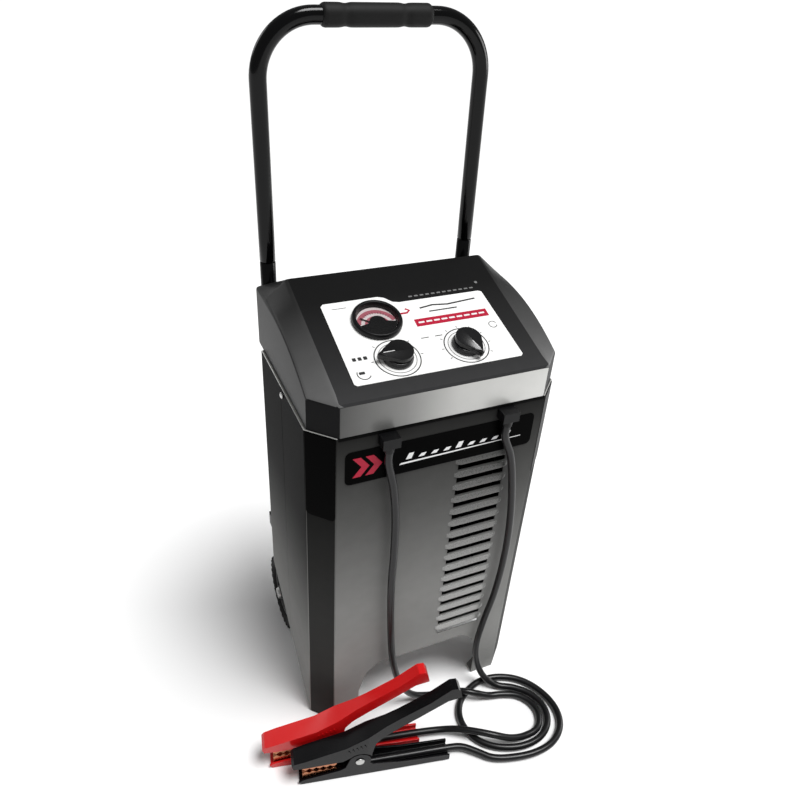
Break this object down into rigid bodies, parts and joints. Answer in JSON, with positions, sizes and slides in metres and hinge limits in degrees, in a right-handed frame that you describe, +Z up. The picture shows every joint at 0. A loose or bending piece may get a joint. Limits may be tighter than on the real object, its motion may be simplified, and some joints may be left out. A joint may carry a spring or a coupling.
{
  "type": "wheeled car battery charger",
  "caption": "Wheeled car battery charger: steel cabinet with a sloping control panel, a U-shaped push handle, two rear wheels and two output leads that end in battery clamps.",
  "frame": {"origin": "middle of the footprint of the charger itself, without its leads and clamps, at floor level", "axes": "+Z up, front with the control panel and the leads towards -Y, +X to the right seen from the front"},
  "size_m": [0.4468, 0.4404, 0.9328],
  "materials": {
    "grey_paint": "satin metallic grey paint on sheet steel",
    "black_paint": "gloss black powder coat on tube",
    "cap_plastic": "satin dark grey moulded plastic with a grey front band",
    "black_plastic": "satin black moulded plastic",
    "knob_plastic": "semi-gloss black knob",
    "grip_rubber": "matt black grip sleeve",
    "white_label": "printed white panel label",
    "black_label": "gloss black decal",
    "dial_face": "pale pink and white dial with printed arcs",
    "needle_paint": "black painted needle",
    "clear_lens": "clear window",
    "zinc": "bright zinc plated steel",
    "spring_steel": "spring steel wire",
    "tyre_rubber": "solid black rubber",
    "hub_plastic": "dark grey moulded hub",
    "cord_rubber": "satin black cable jacket",
    "clamp_red": "gloss red insulated clamp body",
    "clamp_black": "gloss black insulated clamp body",
    "copper": "copper plated steel",
    "core_steel": "varnished steel laminations",
    "aluminium": "mill finish aluminium plate",
    "brown_board": "brown phenolic switch housing"
  },
  "bodies": {
    "cabinet": {"front_shell": "grey_paint", "rear_shell": "grey_paint", "deck_plate": "zinc", "base_plate": "zinc", "side_screw_left": "zinc", "side_screw_right": "zinc", "front_decal": "black_label", "corner_decal_left": "black_label", "corner_decal_right": "black_label", "top_cap": "cap_plastic", "panel_label": "white_label", "ammeter_case": "black_plastic", "ammeter_dial": "dial_face", "ammeter_lens": "clear_lens", "pivot_cover": "black_plastic", "rate_switch": "brown_board", "timer_body": "brown_board", "handle_bar": "black_paint", "handle_grip": "grip_rubber", "frame_tube_left": "black_paint", "frame_tube_right": "black_paint", "tube_bracket_left": "black_plastic", "tube_bracket_right": "black_plastic", "axle": "zinc", "axle_cap_left": "zinc", "axle_cap_right": "zinc", "axle_bracket_left": "zinc", "axle_bracket_right": "zinc", "transformer_core": "core_steel", "transformer_winding": "copper", "rectifier_plate": "aluminium", "circuit_breaker": "black_plastic", "fan_frame": "black_plastic", "cable_gland_red": "black_plastic", "cable_gland_black": "black_plastic", "mains_cord_gland": "black_plastic", "output_cable_red": "cord_rubber", "output_cable_black": "cord_rubber", "clamp_red_lower": "clamp_red", "clamp_red_rivet": "zinc", "clamp_red_spring": "spring_steel", "clamp_red_lower_jaw": "copper", "clamp_black_lower": "clamp_black", "clamp_black_rivet": "zinc", "clamp_black_spring": "spring_steel", "clamp_black_lower_jaw": "copper"},
    "wheel_left": {"tyre_left": "tyre_rubber", "wheel_hub_left": "hub_plastic"},
    "wheel_right": {"tyre_right": "tyre_rubber", "wheel_hub_right": "hub_plastic"},
    "rate_selector": {"rate_knob": "knob_plastic", "rate_shaft": "zinc"},
    "timer": {"timer_knob": "knob_plastic", "timer_shaft": "zinc"},
    "needle": {"ammeter_needle": "needle_paint"},
    "fan": {"fan_rotor": "black_plastic"},
    "red_clamp_upper": {"clamp_red_upper": "clamp_red", "clamp_red_upper_jaw": "copper"},
    "black_clamp_upper": {"clamp_black_upper": "clamp_black", "clamp_black_upper_jaw": "copper"}
  },
  "joints": [
    {"name": "wheel_left_spin", "type": "hinge", "parent": "cabinet", "child": "wheel_left", "pos_m": [-0.144, 0.078, 0.061], "axis": [1, 0, 0], "continuous": true},
    {"name": "wheel_right_spin", "type": "hinge", "parent": "cabinet", "child": "wheel_right", "pos_m": [0.144, 0.078, 0.061], "axis": [1, 0, 0], "continuous": true},
    {"name": "rate_turn", "type": "hinge", "parent": "cabinet", "child": "rate_selector", "pos_m": [-0.0455, -0.08913, 0.59427], "axis": [0, -0.2974, 0.9548], "range_deg": [-180, 0]},
    {"name": "timer_turn", "type": "hinge", "parent": "cabinet", "child": "timer", "pos_m": [0.0445, -0.08818, 0.59457], "axis": [0, -0.2974, 0.9548], "range_deg": [-300, 0]},
    {"name": "needle_swing", "type": "hinge", "parent": "cabinet", "child": "needle", "pos_m": [-0.049, -0.0371, 0.61048], "axis": [0, -0.2974, 0.9548], "range_deg": [-104, 0], "stiffness_Nm_per_rad": 0.002},
    {"name": "fan_spin", "type": "hinge", "parent": "cabinet", "child": "fan", "pos_m": [0.058, -0.108, 0.29], "axis": [0, 1, 0], "continuous": true},
    {"name": "red_clamp_open", "type": "hinge", "parent": "cabinet", "child": "red_clamp_upper", "pos_m": [-0.15855, -0.17903, 0.0345], "axis": [0.2062, 0.9785, 0], "range_deg": [0, 20], "stiffness_Nm_per_rad": 0.8, "springref_deg": -22.92},
    {"name": "black_clamp_open", "type": "hinge", "parent": "cabinet", "child": "black_clamp_upper", "pos_m": [-0.12755, -0.21703, 0.0345], "axis": [0.2062, 0.9785, 0], "range_deg": [0, 20], "stiffness_Nm_per_rad": 0.8, "springref_deg": -22.92}
  ]
}
